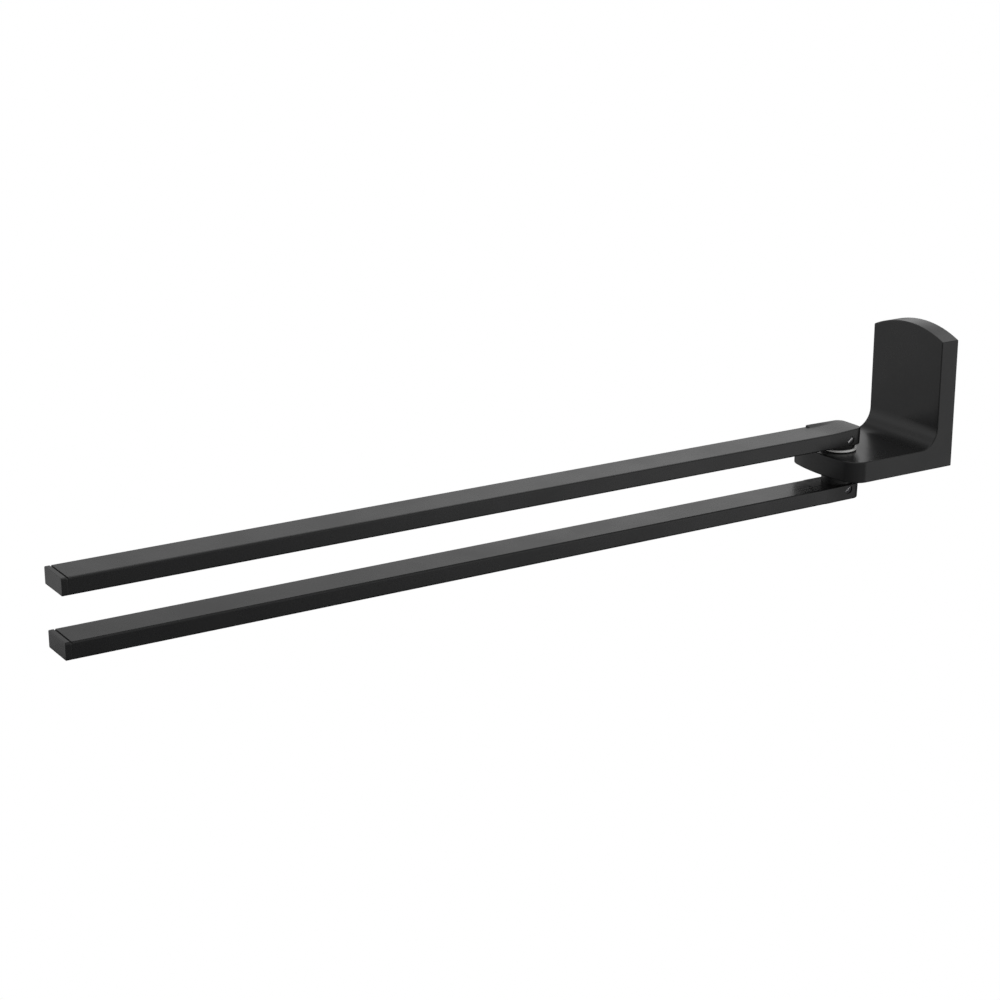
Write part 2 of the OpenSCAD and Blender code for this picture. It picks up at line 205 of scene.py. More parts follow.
# %% [markdown]
# One wide, dim lamp hangs over the arms, as a photographer's softbox would. The studio above gives
# most of the light, and the lamp adds the soft shade under the shelf and the arms.


# %% Softbox
def softbox(name, spot, aim, size, radiance):
    """Rectangular lamp at spot, facing aim. Its power is radiance times pi times its area."""
    lamp = bpy.data.lights.new(name, "AREA")
    lamp.shape = "RECTANGLE"
    lamp.size, lamp.size_y = size
    lamp.energy = radiance * math.pi * size[0] * size[1]
    holder = bpy.data.objects.new(name, lamp)
    holder.location = spot
    holder.rotation_mode = "QUATERNION"
    holder.rotation_quaternion = (Vector(aim) - Vector(spot)).to_track_quat("-Z", "Y")
    bpy.context.scene.collection.objects.link(holder)
    print(name, "at", spot)


arm_middle = (0, -0.25, 0)
softbox("overhead_softbox", spot=(-0.10, -0.20, 1.40), aim=arm_middle, size=(1.6, 1.6), radiance=0.5)

# %% [markdown]
# The floor is a plain pale disc well below the arms, so that no shadow falls where they are seen.
# Glossy rays meet it as a dark one, which keeps the lower edges of the object dark.

# %% Floor
floor_level = -0.52
floor_radius = 1.3
floor_points = 96
floor_mesh = bpy.data.meshes.new("floor")
turn = np.linspace(0, 2 * np.pi, floor_points, endpoint=False)
disc = np.stack([floor_radius * np.cos(turn), arm_middle[1] + floor_radius * np.sin(turn),
                 np.full(floor_points, floor_level)], 1)
floor_mesh.from_pydata(disc.tolist(), [], [list(range(floor_points))])
floor = bpy.data.objects.new("floor", floor_mesh)
bpy.context.scene.collection.objects.link(floor)
pale_grey, dark_grey = (0.8, 0.8, 0.8, 1), (0.03, 0.03, 0.03, 1)
pale = bpy.data.materials.new("pale_floor")
pale.use_nodes = True
tree = pale.node_tree
tree.nodes.clear()
ray = add(tree, "ShaderNodeLightPath")
matt = add(tree, "ShaderNodeBsdfDiffuse", None, {"Color": pale_grey})
dim = add(tree, "ShaderNodeBsdfDiffuse", None, {"Color": dark_grey})
bright = add(tree, "ShaderNodeEmission", None, {"Strength": 1.0})
mirrored = add(tree, "ShaderNodeMixShader")
join(tree, ray, "Is Glossy Ray", mirrored, "Fac")
join(tree, matt, "BSDF", mirrored, 1)
join(tree, dim, "BSDF", mirrored, 2)
shown = add(tree, "ShaderNodeMixShader")
join(tree, ray, "Is Camera Ray", shown, "Fac")
join(tree, mirrored, "Shader", shown, 1)
join(tree, bright, "Emission", shown, 2)
surface = add(tree, "ShaderNodeOutputMaterial")
join(tree, shown, "Shader", surface, "Surface")
floor.data.materials.append(pale)
print("floor disc", floor_radius, "m in radius at height", floor_level)

# %% [markdown]
# Most finishes here are one recipe with other numbers: a base colour with slow, faint clouds in
# it, a roughness that wanders a little, and a bump with a fine grain over a broad, shallow
# waviness. Powder coating, moulded plastic and plated steel differ in those numbers.


# %% Finishes
CLOUD_CELLS = 40.0
CLOUD_LOW, CLOUD_HIGH = 0.3, 0.7
ROUGHNESS_WANDER = 0.035


def finish(name, colour, roughness, grain, wave, clouds=0.08, metallic=0.0, stretch=(1, 1, 1)):
    """Material with three noises in Object coordinates. The slow one, of CLOUD_CELLS cells a metre,
    mixes the colour between a share of clouds darker and lighter, and shifts the roughness up and
    down by ROUGHNESS_WANDER. Grain and wave are pairs (cells a metre, depth in metres): each noise
    times its depth is a height, and the sum of both bends the normal. Stretch scales the grain's
    coordinates, which draws it out along the other axes."""
    material = bpy.data.materials.new(name)
    material.use_nodes = True
    tree = material.node_tree
    shader = tree.nodes["Principled BSDF"]
    shader.inputs["Metallic"].default_value = metallic
    position = add(tree, "ShaderNodeTexCoord")
    slow = add(tree, "ShaderNodeTexNoise", None, {"Scale": CLOUD_CELLS, "Detail": 4.0})
    join(tree, position, "Object", slow, "Vector")
    shade = add(tree, "ShaderNodeMix", {"data_type": "RGBA"}, {
        MIX_FIRST: [c * (1 - clouds) for c in colour] + [1],
        MIX_SECOND: [min(1, c * (1 + clouds)) for c in colour] + [1],
    })
    join(tree, slow, "Fac", shade, MIX_SHARE)
    join(tree, shade, MIX_RESULT, shader, "Base Color")
    gloss = add(tree, "ShaderNodeMapRange", None, {
        "From Min": CLOUD_LOW, "From Max": CLOUD_HIGH,
        "To Min": roughness - ROUGHNESS_WANDER, "To Max": roughness + ROUGHNESS_WANDER,
    })
    join(tree, slow, "Fac", gloss, "Value")
    join(tree, gloss, "Result", shader, "Roughness")
    stretched = add(tree, "ShaderNodeMapping", None, {"Scale": stretch})
    join(tree, position, "Object", stretched, "Vector")
    fine = add(tree, "ShaderNodeTexNoise", None, {"Scale": grain[0], "Detail": 3.0})
    join(tree, stretched, "Vector", fine, "Vector")
    broad = add(tree, "ShaderNodeTexNoise", None, {"Scale": wave[0], "Detail": 1.0})
    join(tree, position, "Object", broad, "Vector")
    fine_bump = add(tree, "ShaderNodeBump", None, {"Strength": 1.0, "Distance": grain[1]})
    broad_bump = add(tree, "ShaderNodeBump", None, {"Strength": 1.0, "Distance": wave[1]})
    join(tree, fine, "Fac", fine_bump, "Height")
    join(tree, broad, "Fac", broad_bump, "Height")
    join(tree, broad_bump, "Normal", fine_bump, "Normal")
    join(tree, fine_bump, "Normal", shader, "Normal")
    return material


coating_black, cap_black = (0.0085, 0.0086, 0.0090), (0.0090, 0.0091, 0.0095)
moulded = {"grain": (3000, 3e-6), "wave": (300, 4e-6)}
along_pin, across_slot = (1, 1, 18), (8, 1, 1)
finishes = {
    "black_casting": finish("coated_casting", coating_black, 0.29, (2400, 1.6e-5), (260, 1.5e-5)),
    "black_bar": finish("coated_bar", coating_black, 0.27, (2600, 1.2e-5), (220, 1.0e-5)),
    "black_cap": finish("coated_cap", cap_black, 0.27, (2600, 1.2e-5), (260, 1.0e-5)),
    "white_plastic": finish("white_acetal", (0.80, 0.80, 0.78), 0.36, **moulded, clouds=0.02),
    # Painted shade: this near-black acetal on the lower washer stands in for the deep shadow in the gap
    # under the shelf.
    "black_plastic": finish("painted_shade_acetal", (0.012, 0.012, 0.013), 0.45, **moulded, clouds=0.04),
    "bush_plastic": finish("natural_acetal", (0.66, 0.62, 0.52), 0.40, **moulded, clouds=0.03),
    "pin_steel": finish("ground_steel", (0.58, 0.58, 0.59), 0.24, (1800, 1.2e-6), (400, 1e-6),
                        clouds=0.03, metallic=1.0, stretch=along_pin),
    "screw_steel": finish("dark_steel", (0.05, 0.05, 0.052), 0.30, (2600, 1.5e-6), (400, 1e-6),
                          clouds=0.03, metallic=1.0, stretch=across_slot),
    "black_screw": finish("black_oxide", (0.018, 0.018, 0.020), 0.34, (4000, 3e-6), (500, 2e-6),
                          clouds=0.05),
    "plate_steel": finish("zinc_plated_steel", (0.50, 0.51, 0.53), 0.36, (900, 4e-6), (120, 1e-5),
                          clouds=0.10, metallic=1.0),
}

# The slot is sawn after blackening, so the colour is bright below the black skin of the screw's face
black_skin = 0.05 * MM
bare_steel = (0.9, 0.9, 0.9, 1)
skin_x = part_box("upper_set_screw")[1].x - black_skin
steel = finishes["screw_steel"].node_tree
shader = steel.nodes["Principled BSDF"]
blackened = shader.inputs["Base Color"].links[0].from_node
position = add(steel, "ShaderNodeTexCoord")
parted = add(steel, "ShaderNodeSeparateXYZ")
join(steel, position, "Object", parted, "Vector")
below = add(steel, "ShaderNodeMath", {"operation": "LESS_THAN"}, {1: skin_x})
join(steel, parted, "X", below, 0)
sawn = add(steel, "ShaderNodeMix", {"data_type": "RGBA"}, {MIX_SECOND: bare_steel})
join(steel, below, "Value", sawn, MIX_SHARE)
join(steel, blackened, MIX_RESULT, sawn, MIX_FIRST)
join(steel, sawn, MIX_RESULT, shader, "Base Color")
print("finishes:", ", ".join(sorted(finishes)))

# %% [markdown]
# Every piece is a grid of points. One direction of the grid runs round the piece and the other
# along it, so a whole surface is one array. The helper below turns such an array into a mesh and
# merges the points that fall together at a pole.


# %% From a grid to a mesh
SMOOTH_ANGLE = math.radians(32)
MERGE_DISTANCE = 1e-7
SLIVER_LENGTH = 1e-8


def mesh_from_grid(name, points, wrap_rows=False, close_ends=False):
    """Piece from an array of rows, columns and three coordinates. Columns always wrap round. Each
    cell between neighbouring rows and columns is one face; wrap_rows joins the last row to the
    first, and close_ends puts one flat face on the first row and one on the last."""
    rows, columns = points.shape[:2]
    index = np.arange(rows * columns).reshape(rows, columns)
    if wrap_rows:
        index = np.vstack([index, index[:1]])
    index = np.hstack([index, index[:, :1]])
    cells = np.stack([index[:-1, :-1], index[:-1, 1:], index[1:, 1:], index[1:, :-1]], -1)
    faces = cells.reshape(-1, 4).tolist()
    if close_ends:
        faces += [index[0, :-1].tolist()[::-1], index[-1, :-1].tolist()]
    mesh = bpy.data.meshes.new(name)
    mesh.from_pydata(points.reshape(-1, 3).tolist(), [], faces)
    tidy = bmesh.new()
    tidy.from_mesh(mesh)
    bmesh.ops.remove_doubles(tidy, verts=tidy.verts, dist=MERGE_DISTANCE)
    bmesh.ops.dissolve_degenerate(tidy, edges=tidy.edges, dist=SLIVER_LENGTH)
    bmesh.ops.recalc_face_normals(tidy, faces=tidy.faces)
    tidy.to_mesh(mesh)
    tidy.free()
    piece = bpy.data.objects.new(name, mesh)
    bpy.context.scene.collection.objects.link(piece)
    return piece


def combine(piece, others, operation):
    """Adds or cuts solids with exact Booleans and bakes the result into the piece's mesh."""
    for other in others:
        step = piece.modifiers.new(other.name, "BOOLEAN")
        step.operation = operation
        step.solver = "EXACT"
        step.object = other
    bpy.context.view_layer.update()
    evaluated = piece.evaluated_get(bpy.context.evaluated_depsgraph_get())
    mesh = bpy.data.meshes.new_from_object(evaluated)
    piece.modifiers.clear()
    piece.data = mesh
    for other in others:
        bpy.data.objects.remove(other)


def complete(piece, node, body, slot_name):
    """Gives a piece its finish, smooth shading with sharp corners kept and its body, and hides its CAD
    node.
    """
    piece.data.polygons.foreach_set("use_smooth", np.ones(len(piece.data.polygons), bool))
    piece.data.set_sharp_from_angle(angle=SMOOTH_ANGLE)
    even = piece.modifiers.new("even_normals", "WEIGHTED_NORMAL")
    even.weight = 100
    even.keep_sharp = True
    piece.data.materials.clear()
    piece.data.materials.append(finishes[slot_name])
    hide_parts(node)
    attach(piece, body)
    print(piece.name, "has", len(piece.data.polygons), "faces")


# %% [markdown]
# Most pieces need only two outlines: a rectangle with rounded corners, and a quarter circle that
# rounds an edge. A rounded edge is never left out, because it is what catches the light on a black
# object.


# %% Outlines
CORNER_STEPS = 7
LEAST_RADIUS, LEAST_LENGTH = 1e-6, 1e-9
MOST_HOLD_SHARE = 0.3


def rounded_outline(low, high, radii, hold=0.4 * MM):
    """Closed outline of a rectangle from corner low to corner high. Corner k is a quarter circle:
    its centre plus its radius times (cosine, sine) of angles from 90 k to 90 k + 90 degrees. A
    point is held close to each end of every straight side, so that shading stays flat there."""
    (x0, y0), (x1, y1) = low, high
    r = np.maximum(np.broadcast_to(np.asarray(radii, float), (4,)), LEAST_RADIUS)
    centres = np.array([
        [x1 - r[0], y1 - r[0]], [x0 + r[1], y1 - r[1]], [x0 + r[2], y0 + r[2]], [x1 - r[3], y0 + r[3]],
    ])
    angle = np.radians(90 * np.arange(4)[:, None] + np.linspace(0, 90, CORNER_STEPS)[None])
    arcs = centres[:, None] + r[:, None, None] * np.stack([np.cos(angle), np.sin(angle)], -1)
    ends, starts = arcs[:, -1], np.roll(arcs[:, 0], -1, axis=0)
    straight = starts - ends
    length = np.maximum(np.linalg.norm(straight, axis=1, keepdims=True), LEAST_LENGTH)
    step = straight * np.minimum(hold / length, MOST_HOLD_SHARE)
    loop = np.concatenate([arcs, (ends + step)[:, None], (starts - step)[:, None]], 1)
    return loop.reshape(-1, 2)


def rim(radius, steps=6, falling=False):
    """Quarter circle as pairs (inset, depth) in units of length: inset goes from radius to zero
    while depth goes from zero to radius. A falling rim is the same one run backwards."""
    angle = np.radians(np.linspace(0, 90, steps))
    pairs = np.stack([radius * (1 - np.sin(angle)), radius * (1 - np.cos(angle))], 1)
    return pairs[::-1] if falling else pairs


def place(loop, axis, level):
    """Puts a flat loop into space at a level along an axis: x takes (y, z), y takes (x, z) and z
    takes (x, y)."""
    level = np.full(len(loop), level)
    first, second = loop[:, 0], loop[:, 1]
    order = {"x": (level, first, second), "y": (first, level, second), "z": (first, second, level)}
    return np.stack(order[axis], 1)


# %% [markdown]
# Round pieces are turned: a half profile is carried about an axis, as a lathe does it. The same
# function cuts every round hole, because a hole is a turned piece that is taken away. For a screw's
# socket some rows of the profile follow a hexagon, so round and six-sided meet in one grid.

# %% Turned pieces
TURN_STEPS = 72


def turned(name, profile, origin, axis="z", wrap_rows=False, hexagon=(), first=0.0):
    """Piece turned about an axis through origin. A profile row is (radius, level along the axis).
    A row whose number is in hexagon follows a hexagon instead of a circle: its distance from the
    axis is radius over the cosine of the angle from the nearest flat's middle. The first point of
    every row stands at the angle first."""
    profile = np.asarray(profile, float)
    angle = first + np.linspace(0, 2 * np.pi, TURN_STEPS, endpoint=False)
    reach = np.repeat(profile[:, :1], TURN_STEPS, axis=1)
    flat = 1 / np.cos((angle + np.pi / 6) % (np.pi / 3) - np.pi / 6)
    for row in hexagon:
        reach[row] *= flat
    across, up = reach * np.cos(angle), reach * np.sin(angle)
    level = np.repeat(profile[:, 1:], TURN_STEPS, axis=1)
    order = {"z": (across, up, level), "x": (level, across, up), "y": (across, level, up)}
    points = np.stack(order[axis], -1) + np.asarray(origin, float)
    return mesh_from_grid(name, points, wrap_rows)


# %% [markdown]
# The wall bracket is one casting: an upright plate with an arched top, a thick shelf, and a
# concave fillet between them. It could be pushed out of a side profile and bevelled, but the
# arch and the rounded corners of the shelf would then need separate cuts. Here it is a row of
# cross-sections from its left side to its right. In each, the plate's top follows the arch and the
# shelf's end follows its rounded corners, and all of them shrink together at the sides, which
# rounds every edge alike.

# %% Bracket sizes
bracket_low, bracket_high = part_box("wall_bracket")
pad_h = 0.5 * MM
underside = bracket_low.z + pad_h
half_w = bracket_high.x
shelf_reach = -bracket_low.y
bracket_h = bracket_high.z - underside
arch_rise = 5.5 * MM
plate_t = 10.5 * MM
shelf_t = 10.5 * MM
corner_r = 9.0 * MM
bow_r = 86.0 * MM
fillet_r = 10.0 * MM
edge_r = 0.5 * MM
arch_r = (half_w**2 + arch_rise**2) / (2 * arch_rise)
print("bracket", round(2 * half_w / MM, 1), "wide,", round(bracket_h / MM, 1), "high, reach",
      round(shelf_reach / MM, 1), "mm")

# %% [markdown]
# The shelf's end and the plate's top are the same kind of outline: a wide arc between two small
# corner circles. One function gives it at any distance x from the middle, drawn in for an edge.


# %% Bracket outlines
def bowed(x, inset, peak, wide_r, small_r):
    """Outline that reaches peak at x = 0, drawn in by inset: an arc of radius wide_r less the inset
    in the middle, and towards a side the corner circle of radius small_r less the inset, which
    touches both the arc and the side."""
    corner_x = half_w - small_r
    middle = peak - wide_r
    corner_level = middle + math.sqrt((wide_r - small_r) ** 2 - corner_x**2)
    on_arc = abs(x) <= corner_x * (wide_r - inset) / (wide_r - small_r)
    arc = middle + np.sqrt(np.maximum((wide_r - inset) ** 2 - x**2, 0))
    small = corner_level + np.sqrt(np.maximum((small_r - inset) ** 2 - (abs(x) - corner_x) ** 2, 0))
    return np.where(on_arc, arc, small)


def shelf_end(x, inset):
    """Reach of the shelf's outline at x: a slight bow between two rounded corners."""
    return bowed(x, inset, shelf_reach, bow_r, corner_r)


def plate_top(x, inset):
    """Height of the arched outline at x, whose corners with the sides are rounded like any edge."""
    return bowed(x, inset, bracket_h, arch_r, edge_r)


fall_back = float(shelf_reach - shelf_end(half_w - corner_r, 0))
print("the shelf's end falls back by", round(fall_back / MM, 2), "mm where its round corners start")

# %% [markdown]
# A cross-section goes round the side profile: under the shelf, up its end, back along its top,
# round the fillet, up the plate, over the arch and down the back. Near the bracket's sides each
# section shrinks along a circle, so the edges there are rounded by the rows of the grid itself.

# %% Bracket sections
EDGE_STEPS = 6
FILLET_STEPS = 17
FACE_HOLD = 0.5 * MM


def between(start, end, count):
    """Numbers from start to end, where the first and last lie FACE_HOLD inside, so that shading stays
    flat between."""
    hold = math.copysign(FACE_HOLD, end - start)
    return np.linspace(start + hold, end - hold, count)


def bracket_section(x):
    """Closed side profile (reach, height) at x. Within edge_r of the side, by a distance past,
    every face is drawn in by edge_r - root(edge_r^2 - past^2), and an edge's quarter circle stops at
    arccos(past / edge_r)."""
    past = max(abs(x) - (half_w - edge_r), 0.0)
    kept_r = math.sqrt(max(edge_r**2 - past**2, 0.0))
    drawn = edge_r - kept_r
    stop = math.acos(min(past / edge_r, 1.0))
    fall = np.linspace(stop, 0, EDGE_STEPS)
    grow = fall[::-1]
    inset_fall, inset_grow = edge_r * (1 - np.cos(fall)), edge_r * (1 - np.cos(grow))
    most = edge_r * (1 - math.cos(stop))
    end, top = float(shelf_end(x, most)) - edge_r, float(plate_top(x, most)) - edge_r
    bend = np.radians(np.linspace(0, 90, FILLET_STEPS))
    back = np.radians(np.linspace(0, 90, EDGE_STEPS))
    parts = [
        (between(edge_r, end, count=4), drawn),
        (shelf_end(x, inset_fall), edge_r - edge_r * np.sin(fall)),
        (shelf_end(x, 0), between(edge_r, shelf_t - edge_r, count=3)),
        (shelf_end(x, inset_grow), shelf_t - edge_r + edge_r * np.sin(grow)),
        (between(end, plate_t + fillet_r, count=4), shelf_t - drawn),
        (plate_t + fillet_r - (fillet_r + drawn) * np.sin(bend),
         shelf_t + fillet_r - (fillet_r + drawn) * np.cos(bend)),
        (plate_t - drawn, between(shelf_t + fillet_r, top, count=4)),
        (plate_t - edge_r + edge_r * np.sin(fall), plate_top(x, inset_fall)),
        (between(plate_t - edge_r, edge_r, count=2), plate_top(x, 0)),
        (edge_r - edge_r * np.sin(grow), plate_top(x, inset_grow)),
        (drawn, between(top, edge_r, count=6)),
        (edge_r - kept_r * np.cos(back), edge_r - kept_r * np.sin(back)),
    ]
    pairs = [np.stack(np.broadcast_arrays(np.atleast_1d(r), np.atleast_1d(z)), 1) for r, z in parts]
    return np.concatenate(pairs)


middle_count, corner_count, side_count = 8, 14, 7
last_corner_turn = 76
station_gap = 0.2 * MM
side_turn = np.radians(np.linspace(0, 90, side_count))
side_stations = half_w - edge_r + edge_r * np.sin(side_turn)
corner_turn = np.radians(np.linspace(0, last_corner_turn, corner_count))
corner_stations = half_w - corner_r + corner_r * np.sin(corner_turn)
stations = np.unique(np.round(np.concatenate([
    np.linspace(0, half_w - corner_r, middle_count),
    corner_stations[corner_stations < half_w - edge_r - station_gap],
    side_stations,
]), 9))
stations = np.concatenate([-stations[:0:-1], stations])
sections = []
for x in stations:
    profile = bracket_section(x)
    sections.append(np.stack([np.full(len(profile), x), -profile[:, 0], profile[:, 1] + underside], 1))
bracket = mesh_from_grid("bracket_casting", np.array(sections), close_ends=True)
print("bracket skin:", len(stations), "sections of", len(sections[0]), "points")

# %% [markdown]
# A low round pad stands on each side of the shelf, and a washer bears on its machined face. Both
# pads and the stretch between them are one turned piece, joined to the casting. Its first point is
# turned by part of a step, so that no edge of it falls on an edge of the casting.

# %% Pads under the washers
hinge_y = frame["joints"][0]["pos_m"][1]
pad_top, pad_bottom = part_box("upper_washer")[0].z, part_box("lower_washer")[1].z
pad_r = 8.2 * MM
pad_soft = 0.18 * MM
pad_flare = [(0.0, 0.6), (0.1 * MM, 0.9), (0.4 * MM, 1.2)]
pad_turn_share = 0.2


def pad_profile(face, sign):
    """Half profile of a raised pad: flat face, rounded rim, then a flare that sinks into the shelf. A
    row of pad_flare is (reach past the pad's radius, depth as a share of the pad's height)."""
    turn = np.radians(np.linspace(90, 0, 5))
    rounded = np.stack([pad_r - pad_soft + pad_soft * np.cos(turn),
                        face - sign * pad_soft * (1 - np.sin(turn))], 1)
    flare = np.array([[pad_r + reach, face - sign * share * pad_h] for reach, share in pad_flare])
    return np.concatenate([rounded, flare])


top_pad, low_pad = pad_profile(pad_top, 1), pad_profile(pad_bottom, -1)
pads = turned("pads", np.concatenate([[[0, pad_top]], top_pad, low_pad[::-1], [[0, pad_bottom]]]),
              (0, hinge_y, 0), first=pad_turn_share * math.tau / TURN_STEPS)
combine(bracket, [pads], "UNION")
print("pads", round(2 * pad_r / MM, 1), "mm across, on the pivot's axis at y =", round(hinge_y / MM, 1))

# %% [markdown]
# The casting is then machined as a real one is. The pin's hole goes through both pads, the back has
# a pocket that hooks over the wall plate, and a threaded hole from below takes the lock screw. Each
# cutter has a slightly wider mouth, so that no hole ends in a knife edge.

# %% Pocket and holes of the bracket
PLAY = 0.03 * MM
OVERRUN = 1.0 * MM


def hole_cutter(name, origin, axis, radius, start, end, mouth, through=True):
    """Turned cutter from start to end along an axis. Its mouth at start, and at end where it goes
    through, widens over the last stretch of length mouth."""
    sign = math.copysign(1, end - start)
    past = OVERRUN * sign
    rows = [(0, start - past), (radius + mouth, start - past), (radius + mouth, start),
            (radius, start + sign * mouth)]
    if through:
        rows += [(radius, end - sign * mouth), (radius + mouth, end), (radius + mouth, end + past),
                 (0, end + past)]
    else:
        rows += [(radius, end), (0, end)]
    return turned(name, rows, origin, axis)


plate_low, plate_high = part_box("wall_plate")
pocket_play = 0.3 * MM
pocket_half_w = plate_high.x + pocket_play
pocket_low = plate_low.z - 2.3 * MM
pocket_high = plate_high.z + pocket_play
pocket_lip = 2.0 * MM
pocket_depth = 5.8 * MM
pocket_corner_r = 0.8 * MM
pocket_mouth = 0.4 * MM
lip_depth = 5.0 * MM


def pocket_row(depth, spread):
    """Rounded outline of the pocket at a depth from the wall. Its top rises by the lip's height
    between the wall and the lip's depth; spread widens the mouth all round."""
    roof = pocket_high - pocket_lip * (1 - min(max(depth / lip_depth, 0), 1))
    loop = rounded_outline((-pocket_half_w - spread, pocket_low - spread),
                           (pocket_half_w + spread, roof + spread), pocket_corner_r + spread)
    return place(loop, "y", -depth)


pocket_rows = [pocket_row(depth, spread) for depth, spread in (
    (-OVERRUN, pocket_mouth), (0, pocket_mouth), (pocket_mouth, 0), (lip_depth, 0), (pocket_depth, 0))]
pocket = mesh_from_grid("pocket", np.array(pocket_rows), close_ends=True)
pin_low, pin_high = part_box("pivot_pin")
pin_r = pin_high.x
pin_hole_mouth = 0.2 * MM
pin_hole = hole_cutter("pin_hole", (0, hinge_y, 0), "z", pin_r + PLAY, pad_top, pad_bottom, pin_hole_mouth)
lock_low, lock_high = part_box("bracket_lock_screw")
lock_r = lock_high.x
lock_y = (lock_low.y + lock_high.y) / 2
lock_mouth = 0.25 * MM
lock_hole = hole_cutter("lock_hole", (0, lock_y, 0), "z", lock_r + PLAY, underside,
                        pocket_low + OVERRUN, lock_mouth, through=False)
combine(bracket, [pocket, pin_hole, lock_hole], "DIFFERENCE")
complete(bracket, "wall_bracket", "root", "black_casting")

# %% [markdown]
# The wall plate stays on the wall when the bracket is lifted off. Its upper and lower edges are
# bevelled towards the wall, so the bracket's lip hooks behind the top one and the lock screw's
# point presses under the bottom one. It is a short loft from its back to its front, with two
# countersunk holes one above the other.

# %% Wall plate
plate_t_wall = -plate_low.y
plate_bevel = 2.0 * MM
plate_corner_r = 1.2 * MM
plate_soft = 0.35 * MM


def plate_row(depth, inset):
    """Outline of the wall plate at a depth from the wall: its lower and upper edges spread by the
    bevel's height between the wall and the front face; inset draws the outline in."""
    slope = plate_bevel * (1 - depth / plate_t_wall)
    loop = rounded_outline((plate_low.x + inset, plate_low.z + slope + inset),
                           (plate_high.x - inset, plate_high.z - slope - inset), plate_corner_r - inset)
    return place(loop, "y", -depth)


plate_rows = [plate_row(depth, inset) for inset, depth in rim(plate_soft)]
plate_rows += [plate_row(plate_t_wall - depth, inset) for inset, depth in rim(plate_soft, falling=True)]
wall_plate = mesh_from_grid("wall_plate_steel", np.array(plate_rows), close_ends=True)
screw_hole_r = 2.4 * MM
screw_sink = 2.2 * MM
hole_pitch = 26.0 * MM
hole_mouth, sink_flare = 0.2 * MM, 0.1 * MM
mouth_r, sink_r = screw_hole_r + hole_mouth, screw_hole_r + screw_sink
past = plate_t_wall + OVERRUN
hole_rows = [(0, OVERRUN), (mouth_r, OVERRUN), (mouth_r, 0), (screw_hole_r, -hole_mouth),
             (screw_hole_r, screw_sink - plate_t_wall), (sink_r, -plate_t_wall),
             (sink_r + sink_flare, -past), (0, -past)]
cutters = [turned("screw_hole", hole_rows, (0, 0, side * hole_pitch / 2), "y") for side in (-1, 1)]
combine(wall_plate, cutters, "DIFFERENCE")
complete(wall_plate, "wall_plate", "root", "plate_steel")

# %% [markdown]
# Washers, bushes and the pin are lathe work: a half profile carried round an axis. The washers are
# acetal with softened rims. The upper one is white, and its edge is the bright crescent seen under
# the upper arm. The lower one is coloured near black as painted shade, standing in for the deep
# shadow in the gap under the shelf.


# %% Washers and bushes
RING_HOLD = 0.3 * MM


def ring_profile(inner, outer, low, high, soft_rim):
    """Closed half profile of a ring: a rectangle from inner to outer radius with rounded corners."""
    return rounded_outline((inner, low), (outer, high), soft_rim, RING_HOLD)


def screw_level(arm):
    """Height of the middle of an arm's set screw."""
    low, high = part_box(arm + "_set_screw")
    return (low.z + high.z) / 2


washer_play, washer_soft = 0.3 * MM, 0.22 * MM
# The lower washer takes the painted-shade black, which stands in for the shadow under the shelf.
for name, slot_name in (("upper_washer", "white_plastic"), ("lower_washer", "black_plastic")):
    low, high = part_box(name)
    profile = ring_profile(pin_r + washer_play, high.x, low.z, high.z, washer_soft)
    washer = turned(name + "_acetal", profile, (0, hinge_y, 0), wrap_rows=True)
    complete(washer, name, "root", slot_name)

set_low, set_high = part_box("upper_set_screw")
set_r = (set_high.z - set_low.z) / 2
bush_play, bush_soft, drill_mouth = 0.05 * MM, 0.15 * MM, 0.1 * MM
for arm in ("upper", "lower"):
    low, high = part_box(arm + "_bush")
    profile = ring_profile(pin_r + bush_play, high.x, low.z, high.z, bush_soft)
    bush = turned(arm + "_bush_acetal", profile, (0, hinge_y, 0), wrap_rows=True)
    drill = hole_cutter("drill", (0, hinge_y, screw_level(arm)), "x", set_r + PLAY, high.x + OVERRUN, 0,
                        drill_mouth, through=False)
    combine(bush, [drill], "DIFFERENCE")
    complete(bush, arm + "_bush", arm + "_arm", "bush_plastic")

# %% [markdown]
# The pin is ground steel with chamfered ends. A groove near each end takes the point of a set screw,
# so an arm can turn but can't slide off.

# %% Pin
chamfer = 0.5 * MM
groove_w = 3.0 * MM
groove_depth = 0.8 * MM
groove_slope = 0.1 * MM


def groove(level):
    """Rows of one groove round the pin, centred on a level, from its lower edge to its upper. Its
    floor is narrower than its mouth by groove_slope at each end."""
    half_mouth, half_floor = groove_w / 2, groove_w / 2 - groove_slope
    return [(pin_r, level - half_mouth), (pin_r - groove_depth, level - half_floor),
            (pin_r - groove_depth, level + half_floor), (pin_r, level + half_mouth)]


pin_rows = [(0, pin_low.z), (pin_r - chamfer, pin_low.z), (pin_r, pin_low.z + chamfer)]
pin_rows += groove(screw_level("lower")) + groove(screw_level("upper"))
pin_rows += [(pin_r, pin_high.z - chamfer), (pin_r - chamfer, pin_high.z), (0, pin_high.z)]
pin = turned("pivot_pin_steel", pin_rows, (0, hinge_y, 0))
complete(pin, "pivot_pin", "root", "pin_steel")

# %% [markdown]
# Each hub is a block with a rounded back, cast with a round boss that turns on the washer and a
# spigot that fits inside the bar. The block is a row of cross-sections from the joint to the back.
# Their width follows the plan with its rounded corners, their upper and lower edges are rounded, and
# their top follows a height map: the upper block stands higher than its bar, by a clear step on the
# far side and by almost none on the near side, where it grows slowly towards the back. Behind the
# joint the sides lean in a little towards the bottom, as a casting's do to leave the mould.

